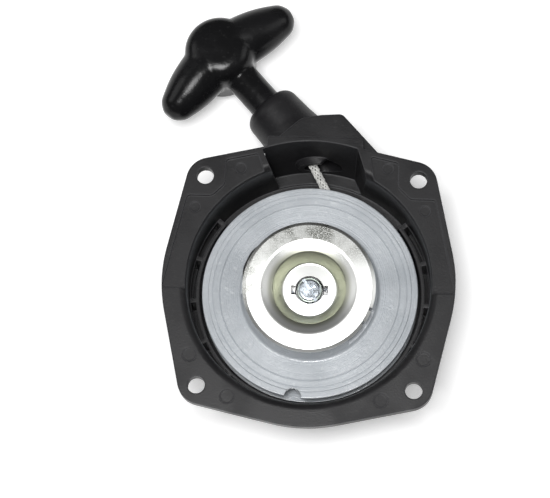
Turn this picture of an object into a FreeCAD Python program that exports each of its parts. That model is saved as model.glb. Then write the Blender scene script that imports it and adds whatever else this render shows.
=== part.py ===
import FreeCAD, Part
import math
import os

from FreeCAD import Placement, Rotation, Vector

# A recoil starter for a small two-stroke engine.
# Frame: the origin is the centre of the bolt pattern on the mounting face, +Z is the reel axis and points
# out of the open side towards the engine, +Y points to the rope tower. Depths count down from that face.

doc = FreeCAD.newDocument("RecoilStarter")
sheet = doc.addObject("Spreadsheet::Sheet", "Sizes")

SIZES = [
    # mounting flange
    ("flange_reach", 49.1, "radius of the flange's round sides"),
    ("corner_centre", 34.4, "offset of each corner's arc from the axis, along X and Y"),
    ("corner_radius", 8.0, "radius of each corner"),
    ("flange_thickness", 4.0, "thickness of the mounting flange"),
    ("bolt_spacing", 72.0, "distance between bolt holes, both ways"),
    ("bolt_hole", 5.8, "clearance hole for an M5 bolt"),
    ("boss_radius", 6.8, "pad left standing round the two upper bolt holes"),
    ("rim_width", 1.9, "rim between the upper recesses and the flange's edge"),
    ("recess_depth", 1.0, "depth of the recesses beside the upper bolt holes"),
    ("ejector_mark", 3.6, "round mark left by an ejector pin"),
    ("mark_depth", 0.3, "depth of an ejector mark"),
    ("lip_edge", 50.5, "height of the straight lip over the rope channel"),
    ("lip_half", 15.4, "half length of that lip"),
    # dome
    ("throat_radius", 40.9, "radius of the throat over the reel"),
    ("throat_rounding", 4.2, "rounding from the mounting face into the throat"),
    ("dome_radius", 43.2, "outer radius of the dome"),
    ("dome_depth", 36.0, "depth of the whole housing"),
    ("nose_rounding", 6.5, "rounding from the dome's side to its front face"),
    ("shroud_radius", 37.5, "inner radius of the wall round the reel"),
    ("shroud_wall", 1.4, "thickness of that wall"),
    ("shroud_top", 17.5, "depth of that wall's top edge"),
    ("duct_floor", 29.5, "depth of the air duct between shroud and dome"),
    ("duct_pitch", 21.3, "angle from rib to rib round the duct"),
    ("duct_opening", 19.2, "angle of one duct cell between two ribs"),
    ("window_top", 20.0, "depth of the top of each air window"),
    ("window_height", 8.0, "height of each air window"),
    ("reel_floor", 26.2, "depth of the floor under the reel"),
    ("spring_floor", 33.6, "depth of the floor under the spring case"),
    ("post_radius", 6.4, "radius of the centre post"),
    ("post_top", 18.1, "depth of the post's top face"),
    # rope channel and tower
    ("channel_reach", 48.9, "radius of the channel's far wall at the mounting face"),
    ("channel_floor_reach", 45.0, "radius of that wall at the channel's floor"),
    ("channel_floor", 25.4, "depth of the channel's floor"),
    ("rope_depth", 18.8, "depth of the rope, the tower's axis and the handle"),
    ("tower_angle", 132.5, "direction of the tower's axis, from +X"),
    ("tower_offset", 32.6, "distance from the reel's axis to the tower's axis"),
    ("tower_half", 15.0, "half width of the tower's block"),
    ("tower_end", 45.8, "end of the tower's block, along its axis"),
    ("tower_slant", 42.0, "where the block's slanted outer corner turns, along the axis"),
    ("tower_shoulder", 37.6, "where the block's right side ends, along the axis"),
    ("tower_top", 3.4, "depth of the tower's upper face"),
    ("tower_bottom", 31.0, "depth of the tower's lower face"),
    ("collar_radius", 10.2, "radius of the collar that takes the handle's stem"),
    ("collar_end", 61.3, "end of the collar, along the tower's axis"),
    ("collar_rounding", 4.2, "rounding of the collar's end"),
    ("socket_radius", 6.05, "radius of the socket for the stem"),
    ("socket_floor", 50.0, "start of the socket, along the tower's axis"),
    ("mouth_radius", 5.0, "radius of the rope mouth"),
    ("mouth_boss", 6.6, "radius of the boss round the rope mouth"),
    ("mouth_start", 31.2, "start of that boss, along the tower's axis"),
    ("mouth_face", 44.7, "radius of the face that trims that boss, from the reel's axis"),
    ("guide_start", 43.0, "start of the rope guide, along the tower's axis"),
    ("guide_bore", 2.1, "radius of the hole in the rope guide"),
    # reel
    ("reel_radius", 36.7, "radius of both reel flanges"),
    ("reel_face", 15.0, "depth of the reel's upper face"),
    ("rim_step", 0.45, "step down of the reel's outer band"),
    ("rim_band", 2.2, "width of that band"),
    ("groove_top", 17.0, "depth of the rope groove's upper side"),
    ("groove_bottom", 23.7, "depth of the rope groove's lower side"),
    ("reel_bottom", 25.5, "depth of the lower flange's face"),
    ("core_radius", 13.0, "radius of the reel's core in the groove"),
    ("hub_radius", 22.2, "radius of the hub ring under the plate"),
    ("hub_top", 8.4, "depth of the hub ring's top"),
    ("hub_inner", 16.9, "inner radius of the hub ring"),
    ("hub_floor", 14.6, "depth of the floor inside the hub ring"),
    ("reel_bore", 6.45, "radius of the reel's bore on the post"),
    ("drive_boss", 8.8, "radius of the boss that the spring's inner end hooks"),
    ("drive_boss_end", 33.0, "depth of that boss's end"),
    ("rope_notch", 3.0, "radius of the notch in the upper flange's edge"),
    # rope
    ("rope_radius", 1.5, "radius of the braided rope"),
    ("lay_radius", 14.7, "radius of the innermost turns' centre line"),
    ("lay_step", 3.25, "step from turn to turn outwards"),
    ("lay_pitch", 3.2, "distance between the two layers"),
    # ratchet
    ("plate_radius", 22.5, "radius of the friction plate"),
    ("plate_face", 7.1, "depth of the plate's annular face"),
    ("plate_thickness", 0.9, "thickness of the plate's sheet"),
    ("plate_floor", 12.4, "depth of the plate's dished floor"),
    ("plate_hole", 4.95, "radius of the plate's centre hole"),
    ("tab_angle", -26.0, "direction of the plate's bent tab"),
    ("peg_radius", 17.5, "distance of the plate's peg from the axis"),
    ("peg_angle", 166.0, "direction of the plate's peg"),
    ("pawl_pivot_radius", 16.0, "distance of the pawl's pivot from the axis"),
    ("pawl_pivot_angle", 128.0, "direction of the pawl's pivot"),
    ("pawl_top", 9.4, "depth of the pawl's upper face"),
    ("pawl_bottom", 13.8, "depth of the pawl's lower face"),
    ("pin_radius", 1.5, "radius of the pawl's pin"),
    ("plate_slip", 18.0, "slip of the plate on the reel while the pawl swings"),
    ("pawl_swing", 20.0, "swing of the pawl"),
    # centre
    ("bush_neck", 4.2, "radius of the bush's neck"),
    ("screw_head", 4.4, "radius of the screw's head"),
    ("screw_shank", 2.4, "radius of the screw's shank"),
    ("head_seat", 14.3, "depth of the seat under the screw's head"),
    # spring
    ("case_radius", 30.2, "outer radius of the spring case"),
    ("case_top", 26.8, "depth of the spring case's rim"),
    ("case_sheet", 0.7, "thickness of the spring case's sheet"),
    ("strip_thickness", 0.5, "thickness of the spring strip"),
    ("strip_width", 5.4, "width of the spring strip"),
    ("coil_step", 0.94, "radial growth of the spring per half turn"),
    ("coil_halves", 20, "half turns of the spring"),
    ("coil_start", 9.9, "radius of the spring's first half turn"),
    # handle
    ("stem_radius", 5.75, "radius of the handle's stem"),
    ("stem_start", 51.7, "inner end of the stem, along the tower's axis"),
    ("barrel_centre", 86.2, "centre of the handle's barrel, along the tower's axis"),
    ("barrel_radius", 12.2, "radius of the barrel"),
    ("barrel_top", 9.5, "depth of the barrel's top"),
    ("barrel_low", 30.6, "depth of the barrel's underside"),
    ("barrel_crown", 0.4, "crown of the barrel's top"),
    ("barrel_rounding", 6.0, "rounding of the barrel's upper edge"),
    ("wing_reach", 28.2, "reach of each wing from the stem's axis"),
    ("wing_droop", 12.0, "angle that each wing leans towards the stem"),
    ("handle_bore", 2.1, "radius of the rope hole in the stem"),
    ("chamber_radius", 7.0, "radius of the knot chamber"),
    ("chamber_top", 13.8, "depth of the knot chamber's roof"),
    ("cap_thickness", 1.6, "depth of the seat for the cap under the chamber"),
]

for row, (alias, value, note) in enumerate(SIZES, start=1):
    sheet.set(f"A{row}", note)
    sheet.set(f"B{row}", str(value))
    sheet.setAlias(f"B{row}", alias)
doc.recompute()


def size(alias):
    """Value of one cell of the sheet."""
    return float(getattr(sheet, alias))


def polar(radius, degrees):
    """Plan point at a radius and direction from the reel's axis."""
    return radius * math.cos(math.radians(degrees)), radius * math.sin(math.radians(degrees))


def on_tower(along, across=0.0):
    """Plan point given by its place along the tower's axis and its distance to the right of that axis."""
    turn = math.radians(size("tower_angle"))
    side = size("tower_offset") + across
    return (
        along * math.cos(turn) + side * math.sin(turn),
        along * math.sin(turn) - side * math.cos(turn),
    )


# ---------------------------------------------------------------- sketch and feature helpers


def rounded(points):
    """Closed chain of segments through points; a third number on a point rounds that corner if it can."""
    corners = []
    count = len(points)
    for i, point in enumerate(points):
        here = Vector(point[0], point[1], 0)
        radius = point[2] if len(point) > 2 else 0.0
        if not radius:
            corners.append((here, here, None))
            continue
        before = Vector(*points[i - 1][:2], 0) - here
        after = Vector(*points[(i + 1) % count][:2], 0) - here
        half = before.getAngle(after) / 2
        reach = min(radius / math.tan(half), 0.49 * before.Length, 0.49 * after.Length)
        radius = reach * math.tan(half)
        before.normalize()
        after.normalize()
        middle = (before + after).normalize() * (radius / math.sin(half) - radius)
        corners.append((here + before * reach, here + after * reach, here + middle))
    chain = []
    for i, (start, end, middle) in enumerate(corners):
        if middle is not None:
            chain.append(Part.Arc(start, middle, end))
        following = corners[(i + 1) % count][0]
        if (following - end).Length > 1e-7:
            chain.append(Part.LineSegment(end, following))
    return chain


def circle(x, y, radius):
    """Full circle in a sketch."""
    return Part.Circle(Vector(x, y, 0), Vector(0, 0, 1), radius)


def ring_sector(inner, outer, start, end):
    """Closed sector of a ring between two radii and two directions."""
    middle = (start + end) / 2
    places = ((inner, start), (outer, start), (outer, end), (inner, end))
    corner = [Vector(*polar(radius, angle), 0) for radius, angle in places]
    return [
        Part.LineSegment(corner[0], corner[1]),
        Part.Arc(corner[1], Vector(*polar(outer, middle), 0), corner[2]),
        Part.LineSegment(corner[2], corner[3]),
        Part.Arc(corner[3], Vector(*polar(inner, middle), 0), corner[0]),
    ]


def new_body(label):
    """PartDesign body whose label names its file."""
    body = doc.addObject("PartDesign::Body", "Body_" + label)
    body.Label = label
    return body


def sketch(body, geometry, plane="XY_Plane", place=None):
    """Sketch on one of the body's origin planes, moved by a placement in that plane's own axes."""
    made = body.newObject("Sketcher::SketchObject", "Sketch")
    support = [f for f in body.Origin.OriginFeatures if f.Role == plane][0]
    made.AttachmentSupport = [(support, "")]
    made.MapMode = "FlatFace"
    made.AttachmentOffset = place or Placement()
    made.addGeometry(geometry, False)
    return made


def at_depth(alias_or_value):
    """Placement that lowers a plan sketch to a depth."""
    depth = size(alias_or_value) if isinstance(alias_or_value, str) else alias_or_value
    return Placement(Vector(0, 0, -depth), Rotation())


def along_tower(shift=0.0, extra=0.0, start=0.0):
    """Placement of a plan sketch whose X axis runs along the tower's axis, or turned from it."""
    turn = size("tower_angle")
    x, y = on_tower(start, shift)
    return Placement(Vector(x, y, -size("rope_depth")), Rotation(Vector(0, 0, 1), turn + extra))


def feature(body, kind, profile, **settings):
    """Feature of a body; a setting that is text binds that property to the sheet."""
    made = body.newObject("PartDesign::" + kind, kind)
    made.Profile = profile
    for name, value in settings.items():
        if isinstance(value, str) and name in ("Length", "Angle"):
            made.setExpression(name, value)
        else:
            setattr(made, name, value)
    profile.Visibility = False
    return made


def pad(body, profile, length, **settings):
    """Material added upwards from a plan sketch."""
    return feature(body, "Pad", profile, Length=length, **settings)


def pocket(body, profile, length, **settings):
    """Material cut downwards from a plan sketch; the cut has to remove something."""
    doc.recompute()
    before = body.Shape.Volume
    made = feature(body, "Pocket", profile, Length=length, **settings)
    doc.recompute()
    if body.Shape.Volume > before - 1e-3:
        raise ValueError(f"{body.Label}: a pocket cuts nothing")
    return made


def revolve(body, profile, axis="V_Axis"):
    """Material added by a full turn of a sketch."""
    return feature(body, "Revolution", profile, ReferenceAxis=(profile, [axis]), Angle=360.0)


def groove(body, profile, axis="V_Axis"):
    """Material cut by a full turn of a sketch; the cut has to remove something."""
    doc.recompute()
    before = body.Shape.Volume
    made = feature(body, "Groove", profile, ReferenceAxis=(profile, [axis]), Angle=360.0)
    doc.recompute()
    if body.Shape.Volume > before - 1e-3:
        raise ValueError(f"{body.Label}: a groove cuts nothing")
    return made


def repeat(body, original, profile, angle, count):
    """Polar pattern of one feature about the reel's axis."""
    made = body.newObject("PartDesign::PolarPattern", "PolarPattern")
    made.Originals = [original]
    made.Axis = (profile, ["N_Axis"])
    made.Angle = angle
    made.Occurrences = count
    body.Tip = made
    doc.recompute()
    return made


def turned(body, points):
    """Body of revolution about the reel's axis from a profile of radius and height."""
    profile = sketch(body, rounded(points), "XZ_Plane")
    made = revolve(body, profile)
    doc.recompute()
    return made


def solid_feature(label, shape, place=None):
    """Part::Feature for a shape that neither sketches nor primitives fit."""
    made = doc.addObject("Part::Feature", "Solid_" + label)
    made.Label = label
    made.Shape = shape
    made.Placement = place or Placement()
    return made


# ---------------------------------------------------------------- paths and sweeps


def smooth_wire(points, largest=1e9):
    """Straight runs joined by tangent arcs; each arc is as large as 0.45 of its shorter run allows."""
    edges = []
    radii = []
    start = points[0]
    for i in range(1, len(points) - 1):
        here = points[i]
        back = points[i - 1] - here
        ahead = points[i + 1] - here
        half_turn = (math.pi - back.getAngle(ahead)) / 2
        reach = 0.45 * min(back.Length, ahead.Length)
        radius = min(reach / math.tan(half_turn), largest)
        reach = radius * math.tan(half_turn)
        back.normalize()
        ahead.normalize()
        first = here + back * reach
        last = here + ahead * reach
        bulge = (back + ahead).normalize() * (radius / math.cos(half_turn) - radius)
        edges.append(Part.LineSegment(start, first).toShape())
        edges.append(Part.Arc(first, here + bulge, last).toShape())
        radii.append(radius)
        start = last
    edges.append(Part.LineSegment(start, points[-1]).toShape())
    return Part.Wire(edges), radii


def tube(points, radius, largest=1e9):
    """Solid round tube along a path of runs and tangent arcs, with its volume compared to the path's."""
    wire, radii = smooth_wire(points, largest)
    heading = (points[1] - points[0]).normalize()
    section = Part.Wire([Part.makeCircle(radius, points[0], heading)])
    shell = wire.makePipeShell([section], True, False)
    expected = math.pi * radius * radius * wire.Length
    if abs(shell.Volume - expected) > 0.02 * expected:
        raise ValueError(f"tube volume {shell.Volume:.1f} is not {expected:.1f}")
    return shell, wire.Length, radii


# ---------------------------------------------------------------- housing


def flange_outline():
    """Round sides joined to four corner arcs by tangent lines."""
    reach = size("flange_reach")
    centre = size("corner_centre")
    radius = size("corner_radius")
    spread = math.degrees(math.acos((reach - radius) / (centre * math.sqrt(2))))
    chain = []
    for quarter in range(4):
        diagonal = 45.0 + 90.0 * quarter
        cx, cy = polar(centre * math.sqrt(2), diagonal)
        leave = Vector(*polar(reach, diagonal - spread), 0)
        touch = Vector(*polar(radius, diagonal - spread), 0) + Vector(cx, cy, 0)
        crown = Vector(*polar(radius, diagonal), 0) + Vector(cx, cy, 0)
        part = Vector(*polar(radius, diagonal + spread), 0) + Vector(cx, cy, 0)
        meet = Vector(*polar(reach, diagonal + spread), 0)
        side = Vector(*polar(reach, diagonal + 45.0), 0)
        following = Vector(*polar(reach, diagonal + 90.0 - spread), 0)
        chain.append(Part.LineSegment(leave, touch))
        chain.append(Part.Arc(touch, crown, part))
        chain.append(Part.LineSegment(part, meet))
        chain.append(Part.Arc(meet, side, following))
    return chain


def recess_outline(side):
    """Shallow recess that runs up one side and round in front of its bolt hole; side is +1 on the right."""
    hole = size("bolt_spacing") / 2
    reach = hole - size("boss_radius")
    line = size("flange_reach") - size("rim_width")
    straight = size("flange_reach") - size("corner_radius")
    tilt = math.pi / 4 - math.acos(straight / (size("corner_centre") * math.sqrt(2)))
    low = -3.0
    near = 29.0
    pinch = 33.4

    def edge(along):
        """Distance of the recess's outer edge from the axis, at one distance along the flange's side."""
        return (line - along * math.sin(tilt)) / math.cos(tilt)

    beside = [(19.6, 0.8), (21.2, 35.2)] if side > 0 else [(18.4, 0.8), (16.0, 37.7)]
    points = [
        (41.2, low),
        (edge(low), low, 0.8),
        (edge(reach), reach, 1.4),
        (pinch, reach, 3.0),
        (reach, pinch, 3.0),
        (reach, edge(reach), 1.4),
        (beside[0][0], edge(beside[0][0]), beside[0][1]),
        beside[1],
        (near, near),
        (38.5, 14.0),
    ]
    return rounded([(side * p[0], *p[1:]) for p in points][:: int(side)])


def channel_outline(reach, narrowing):
    """Plan of the rope channel at one depth: a round far wall and two slanted side walls."""
    left = (-17.2 + narrowing, 46.0 * reach / size("channel_reach"))
    right = (15.2 - 0.5 * narrowing, 46.4 * reach / size("channel_reach"))
    far_left = math.degrees(math.atan2(left[1], left[0]))
    far_right = math.degrees(math.atan2(right[1], right[0]))
    corner_left = Vector(*polar(reach, far_left), 0)
    corner_right = Vector(*polar(reach, far_right), 0)
    low_left = Vector(-12.4 + narrowing, 35.6, 0)
    low_right = Vector(19.7 - 0.5 * narrowing, 33.2, 0)
    return [
        Part.Arc(corner_right, Vector(*polar(reach, 91.0), 0), corner_left),
        Part.LineSegment(corner_left, low_left),
        Part.LineSegment(low_left, low_right),
        Part.LineSegment(low_right, corner_right),
    ]


def tower_outline():
    """Plan of the tower's block: a slanted corner at its outer end, the dome's wall on its inner side."""
    half = size("tower_half")
    end = size("tower_end")
    inner = size("throat_radius") + 1.1
    low = size("tower_offset") - half
    start = on_tower(math.sqrt(inner ** 2 - low ** 2), -half)
    foot = on_tower(4.0, half)
    last = math.degrees(math.atan2(foot[1], foot[0]))
    first = math.degrees(math.atan2(start[1], start[0]))
    chain = rounded([
        (*on_tower(size("tower_shoulder"), half - 0.2), 2.5), (*on_tower(size("tower_slant"), 9.3), 4.0),
        (*on_tower(end, 3.5), 6.0), (*on_tower(end, -half), 4.5), start, polar(inner, last), foot,
    ])
    begin = Vector(*start, 0)
    return [
        Part.Arc(edge.StartPoint, Vector(*polar(inner, (first + last) / 2), 0), edge.EndPoint)
        if (edge.StartPoint - begin).Length < 1e-6 else edge
        for edge in chain
    ]


def make_housing():
    """Moulded nylon housing: flange, dome, air duct, rope channel, tower and centre post."""
    body = new_body("housing")
    dome = size("dome_radius")
    throat = size("throat_radius")
    rounding = size("throat_rounding")
    shroud = size("shroud_radius")
    well = size("case_radius") + 0.2
    turned(body, [
        (size("post_radius"), -size("spring_floor")),
        (size("post_radius"), -size("post_top"), 0.4),
        (3.7, -size("post_top")),
        (3.7, -30.0),
        (0.0, -30.0),
        (0.0, -size("dome_depth")),
        (dome - 0.8, -size("dome_depth"), size("nose_rounding")),
        (dome, -size("flange_thickness")),
        (throat + rounding + 1.2, -size("flange_thickness")),
        (throat + rounding + 1.2, 0.0),
        (throat, 0.0, rounding),
        (throat, -size("shroud_top")),
        (shroud, -size("shroud_top"), 0.5),
        (shroud, -size("reel_floor")),
        (well, -size("reel_floor"), 0.3),
        (well, -size("spring_floor")),
    ])
    opening = circle(0, 0, throat + rounding + 0.6)
    plate = sketch(body, flange_outline() + [opening], place=at_depth("flange_thickness"))
    pad(body, plate, "Sizes.flange_thickness")
    lip = size("lip_half")
    band = sketch(body, rounded([
        (-lip, 46.0), (lip + 1.6, 46.0), (lip + 1.6, size("lip_edge") - 0.1, 2.2),
        (lip - 2.4, size("lip_edge"), 1.0), (-lip, size("lip_edge"), 0.8),
    ]), place=at_depth("flange_thickness"))
    pad(body, band, "Sizes.flange_thickness")
    block = sketch(body, tower_outline(), place=at_depth("tower_bottom"))
    pad(body, block, "Sizes.tower_bottom - Sizes.tower_top")
    end = size("tower_end")
    collar = size("collar_radius")
    sleeve = sketch(body, rounded([
        (40.0, 0.0), (size("collar_end"), 0.0), (size("collar_end"), collar - 0.5, size("collar_rounding")),
        (50.0, collar + 0.1), (end, collar + 0.6), (40.0, collar + 0.6),
    ]), place=along_tower())
    revolve(body, sleeve, "H_Axis")
    doc.recompute()

    upper = sketch(body, channel_outline(size("channel_reach"), 0.0), place=at_depth(0.0))
    lower = sketch(body, channel_outline(size("channel_floor_reach"), 2.6), place=at_depth("channel_floor"))
    channel = body.newObject("PartDesign::SubtractiveLoft", "Channel")
    channel.Profile = upper
    channel.Sections = [lower]
    channel.Ruled = True
    doc.recompute()

    boss = sketch(body, rounded([
        (size("mouth_start"), size("mouth_radius") - 0.6), (size("mouth_start"), size("mouth_boss"), 0.7),
        (43.0, size("mouth_boss")), (43.0, size("mouth_radius") - 0.6),
    ]), place=along_tower())
    revolve(body, boss, "H_Axis")
    doc.recompute()
    trim = sketch(body, ring_sector(38.2, size("mouth_face"), 74.0, 104.0), place=at_depth(0.0))
    pocket(body, trim, "Sizes.channel_floor")
    bore = sketch(body, rounded([
        (size("mouth_start") - 6.0, 0.0), (size("mouth_start") - 6.0, size("mouth_radius")),
        (size("socket_floor"), size("mouth_radius")), (size("socket_floor"), size("socket_radius")),
        (size("collar_end") + 1.0, size("socket_radius")), (size("collar_end") + 1.0, 0.0),
    ]), place=along_tower())
    groove(body, bore, "H_Axis")

    # air duct: cells between ribs, open to the side through windows
    first = -90.0 - 6.0 * size("duct_pitch")
    gap = (size("duct_pitch") - size("duct_opening")) / 2
    start = first + gap
    stop = start + size("duct_opening")
    outline = ring_sector(shroud + size("shroud_wall"), throat - 0.2, start, stop)
    cell = sketch(body, outline, place=at_depth("shroud_top"))
    cells = pocket(body, cell, "Sizes.duct_floor - Sizes.shroud_top")
    repeat(body, cells, cell, 11.0 * size("duct_pitch"), 12)
    outline = ring_sector(throat - 1.0, dome + 2.0, start + 1.0, stop - 1.0)
    window = sketch(body, outline, place=at_depth("window_top"))
    windows = pocket(body, window, "Sizes.window_height")
    repeat(body, windows, window, 11.0 * size("duct_pitch"), 12)
    deep = sketch(body, ring_sector(shroud - 0.6, throat, 39.0, 141.0), place=at_depth("shroud_top"))
    pocket(body, deep, "Sizes.reel_floor - Sizes.shroud_top")

    for side in (1.0, -1.0):
        recess = sketch(body, recess_outline(side), place=at_depth(0.0))
        pocket(body, recess, "Sizes.recess_depth")
    half = size("bolt_spacing") / 2
    holes = sketch(body, [circle(x, y, size("bolt_hole") / 2) for x in (-half, half) for y in (-half, half)])
    pocket(body, holes, "Sizes.flange_thickness + 12")
    mark = size("ejector_mark") / 2
    lower_marks = ((-38.7, -25.8), (-25.6, -39.6), (38.9, -25.5), (25.2, -39.7))
    marks = [circle(x, y, mark + 0.5) for x, y in lower_marks]
    pocket(body, sketch(body, marks), "Sizes.mark_depth")
    upper_marks = ((-39.0, 25.3), (-24.1, 39.2), (38.4, 25.5), (25.6, 40.0))
    sunk = [circle(x, y, mark) for x, y in upper_marks]
    pocket(body, sketch(body, sunk, place=at_depth("recess_depth")), "Sizes.mark_depth")
    return body


# ---------------------------------------------------------------- spring and centre


def make_spring_case():
    """Pressed steel cup that holds the recoil spring."""
    body = new_body("spring_case")
    outer = size("case_radius")
    sheet_metal = size("case_sheet")
    floor = size("spring_floor") - 0.05
    hole = 9.6
    top = -size("case_top")
    turned(body, [
        (hole, -floor), (outer, -floor, 0.9), (outer, top), (outer - sheet_metal, top),
        (outer - sheet_metal, -floor + sheet_metal, 0.3), (hole, -floor + sheet_metal),
    ])
    return body


def make_recoil_spring():
    """Flat strip wound as half circles about two centres, with a hook at its inner end."""
    half = size("strip_thickness") / 2
    step = size("coil_step")
    low = -size("spring_floor") + size("case_sheet") + 0.25
    sides = ([], [])
    centre_shift = step / 2
    radius = size("coil_start")
    for i in range(int(size("coil_halves"))):
        sign = 1 if i % 2 == 0 else -1
        centre = Vector(-sign * centre_shift, 0, low)
        for edge, offset in zip(sides, (-half, half)):
            r = radius + offset
            begin = centre + Vector(sign * r, 0, 0)
            top = centre + Vector(0, sign * r, 0)
            finish = centre + Vector(-sign * r, 0, 0)
            edge.append(Part.Arc(begin, top, finish))
        radius += step
    edges = [arc.toShape() for arc in sides[0]]
    last_inner = sides[0][-1].EndPoint
    last_outer = sides[1][-1].EndPoint
    edges.append(Part.LineSegment(last_inner, last_outer).toShape())
    edges += [arc.toShape() for arc in reversed(sides[1])]
    edges.append(Part.LineSegment(sides[1][0].StartPoint, sides[0][0].StartPoint).toShape())
    face = Part.Face(Part.Wire(Part.__sortEdges__(edges)))
    return solid_feature("recoil_spring", face.extrude(Vector(0, 0, size("strip_width"))))


def make_thread_insert():
    """Brass insert in the post, with a threaded bore left plain."""
    body = new_body("thread_insert")
    turned(body, [(2.5, -29.6), (3.65, -29.6, 0.3), (3.65, -18.2), (2.5, -18.2)])
    return body


def make_centre_bush():
    """Steel shoulder bush that holds the reel on the post."""
    body = new_body("centre_bush")
    neck = size("bush_neck")
    turned(body, [
        (2.6, -18.1), (6.2, -18.1), (6.2, -17.2), (8.8, -17.2), (8.8, -16.2), (neck, -16.2),
        (neck, -15.0), (4.7, -15.0), (4.7, -size("head_seat"), 0.2), (2.6, -size("head_seat")),
    ])
    return body


def make_centre_screw():
    """Pan-head M5 screw with a cross recess and one slot."""
    body = new_body("centre_screw")
    head = size("screw_head")
    seat = size("head_seat")
    shank = size("screw_shank")
    tip = -29.4
    head_height = 2.9
    turned(body, [
        (0.0, tip), (shank - 0.5, tip), (shank, tip + 0.6), (shank, -seat),
        (head, -seat), (head, -seat + head_height, 1.5), (0.0, -seat + head_height),
    ])
    recess = Placement(Vector(0, 0, head_height - seat), Rotation(Vector(0, 0, 1), -58))
    slot = rounded([(-5.0, -0.55), (5.0, -0.55), (5.0, 0.55), (-5.0, 0.55)])
    pocket(body, sketch(body, slot, place=recess), 1.0)
    arm = 2.3
    thin = 0.55
    cross = rounded([
        (-arm, -thin), (-thin, -thin), (-thin, -arm), (thin, -arm), (thin, -thin), (arm, -thin),
        (arm, thin), (thin, thin), (thin, arm), (-thin, arm), (-thin, thin), (-arm, thin),
    ])
    pocket(body, sketch(body, cross, place=recess), 1.9)
    return body


def make_rope_guide():
    """Flared eyelet that leads the rope out of the tower."""
    body = new_body("rope_guide")
    start = size("guide_start")
    floor = size("socket_floor")
    bore = size("guide_bore")
    outline = rounded([
        (start, bore + 1.9), (start + 2.0, bore, 1.2), (floor - 0.2, bore), (floor + 0.6, bore + 0.7),
        (floor + 0.6, size("socket_radius") - 0.1), (floor, size("socket_radius") - 0.1),
        (floor, size("mouth_radius")), (start, size("mouth_radius"), 0.2),
    ])
    revolve(body, sketch(body, outline, place=along_tower()), "H_Axis")
    return body


# ---------------------------------------------------------------- reel


def make_reel():
    """Nylon reel: two flanges, a core, a hub ring for the ratchet and a boss for the spring."""
    body = new_body("reel")
    outer = size("reel_radius")
    band = outer - size("rim_band")
    face = -size("reel_face")
    hub = size("hub_radius")
    turned(body, [
        (size("reel_bore"), -size("drive_boss_end")), (size("drive_boss"), -size("drive_boss_end")),
        (size("drive_boss"), -size("reel_bottom")), (outer, -size("reel_bottom"), 0.5),
        (outer, -size("groove_bottom"), 0.5), (size("core_radius"), -size("groove_bottom"), 0.6),
        (size("core_radius"), -size("groove_top"), 0.6), (outer, -size("groove_top"), 0.5),
        (outer, face - size("rim_step"), 0.4), (band, face - size("rim_step"), 0.1), (band, face, 0.15),
        (33.3, face), (33.05, face - 0.22), (32.8, face), (30.9, face), (30.6, face - 0.2), (30.3, face),
        (hub + 1.3, face, 1.0), (hub, -size("hub_top") - 1.0), (hub - 0.6, -size("hub_top"), 0.3),
        (size("hub_inner"), -size("hub_top"), 0.5), (size("hub_inner"), -size("hub_floor")),
        (9.5, -size("hub_floor")), (9.5, -17.45), (size("reel_bore"), -17.45),
    ])
    x, y = polar(outer - 0.1, -97.4)
    notch = sketch(body, [circle(x, y, size("rope_notch"))], place=at_depth("reel_face"))
    pocket(body, notch, "Sizes.groove_top - Sizes.reel_face + 0.2")
    marks = [circle(*polar(27.5, angle), 2.65) for angle in (-42.0, -97.8)]
    pocket(body, sketch(body, marks, place=at_depth("reel_face")), 0.15)

    # pocket for the pawl and its swing, open through the side of the hub ring
    start, stop = 112.0, 184.0
    seat = sketch(body, ring_sector(11.2, 24.1, start, stop), place=at_depth(7.0))
    pocket(body, seat, "Sizes.hub_floor - 7")
    pivot = pawl_pivot()
    pin = sketch(body, [circle(pivot.x, pivot.y, size("pin_radius"))], place=at_depth("hub_floor"))
    pocket(body, pin, 1.9)
    behind = size("tab_angle") - size("plate_slip") - 9.0
    track = sketch(body, ring_sector(19.6, 23.4, behind, size("tab_angle") + 9.0), place=at_depth(7.0))
    pocket(body, track, 6.0)
    x, y = knot_place()
    knot = sketch(body, [circle(x, y, 3.1)], place=at_depth(19.0))
    pocket(body, knot, "Sizes.groove_bottom - 19")
    hook = sketch(body, rounded([(6.9, -0.8), (9.5, -0.8), (9.5, 0.8), (6.9, 0.8)]), place=at_depth(26.5))
    pocket(body, hook, 7.0)
    return body


def winding_points():
    """Corner points of the rope's six turns: three radii in each of two layers, up to where it leaves."""
    leave = rope_leave_angle()
    per_turn = 16
    upper = -size("rope_depth")
    lower = upper - size("lay_pitch")
    radii = [size("lay_radius") + k * size("lay_step") for k in range(3)]
    order = [
        (radii[0], lower), (radii[0], upper), (radii[1], upper),
        (radii[1], lower), (radii[2], lower), (radii[2], upper),
    ]
    step = 360.0 / per_turn
    swell = 1.0 / math.cos(math.radians(step / 2))
    total = len(order) * per_turn
    points = []
    for i in range(total):
        turn, place = divmod(i, per_turn)
        radius, height = order[turn]
        if place < 4 and turn > 0:
            share = (place + 0.5) / 4.0
            old_radius, old_height = order[turn - 1]
            radius = old_radius + (radius - old_radius) * share
            height = old_height + (height - old_height) * share
        angle = leave - step / 2 - (total - 1 - i) * step
        points.append(Vector(*polar(radius * swell, angle), height))
    first_angle = leave - total * step
    half = math.tan(math.radians(step / 2))
    start = Vector(*polar(order[0][0], first_angle), order[0][1])
    start -= Vector(*polar(order[0][0] * half, first_angle + 90.0), 0)
    points.insert(0, start)
    points.append(rope_leave_point(half))
    return points


def rope_bend():
    """Point on the tower's axis where the rope turns into the guide."""
    x, y = on_tower(size("guide_start") - 0.5)
    return Vector(x, y, -size("rope_depth"))


def rope_leave_angle():
    """Direction at which the rope leaves the outermost turn, tangent towards the guide."""
    bend = rope_bend()
    reach = math.hypot(bend.x, bend.y)
    outermost = size("lay_radius") + 2 * size("lay_step")
    return math.degrees(math.atan2(bend.y, bend.x) - math.acos(outermost / reach))


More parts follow.
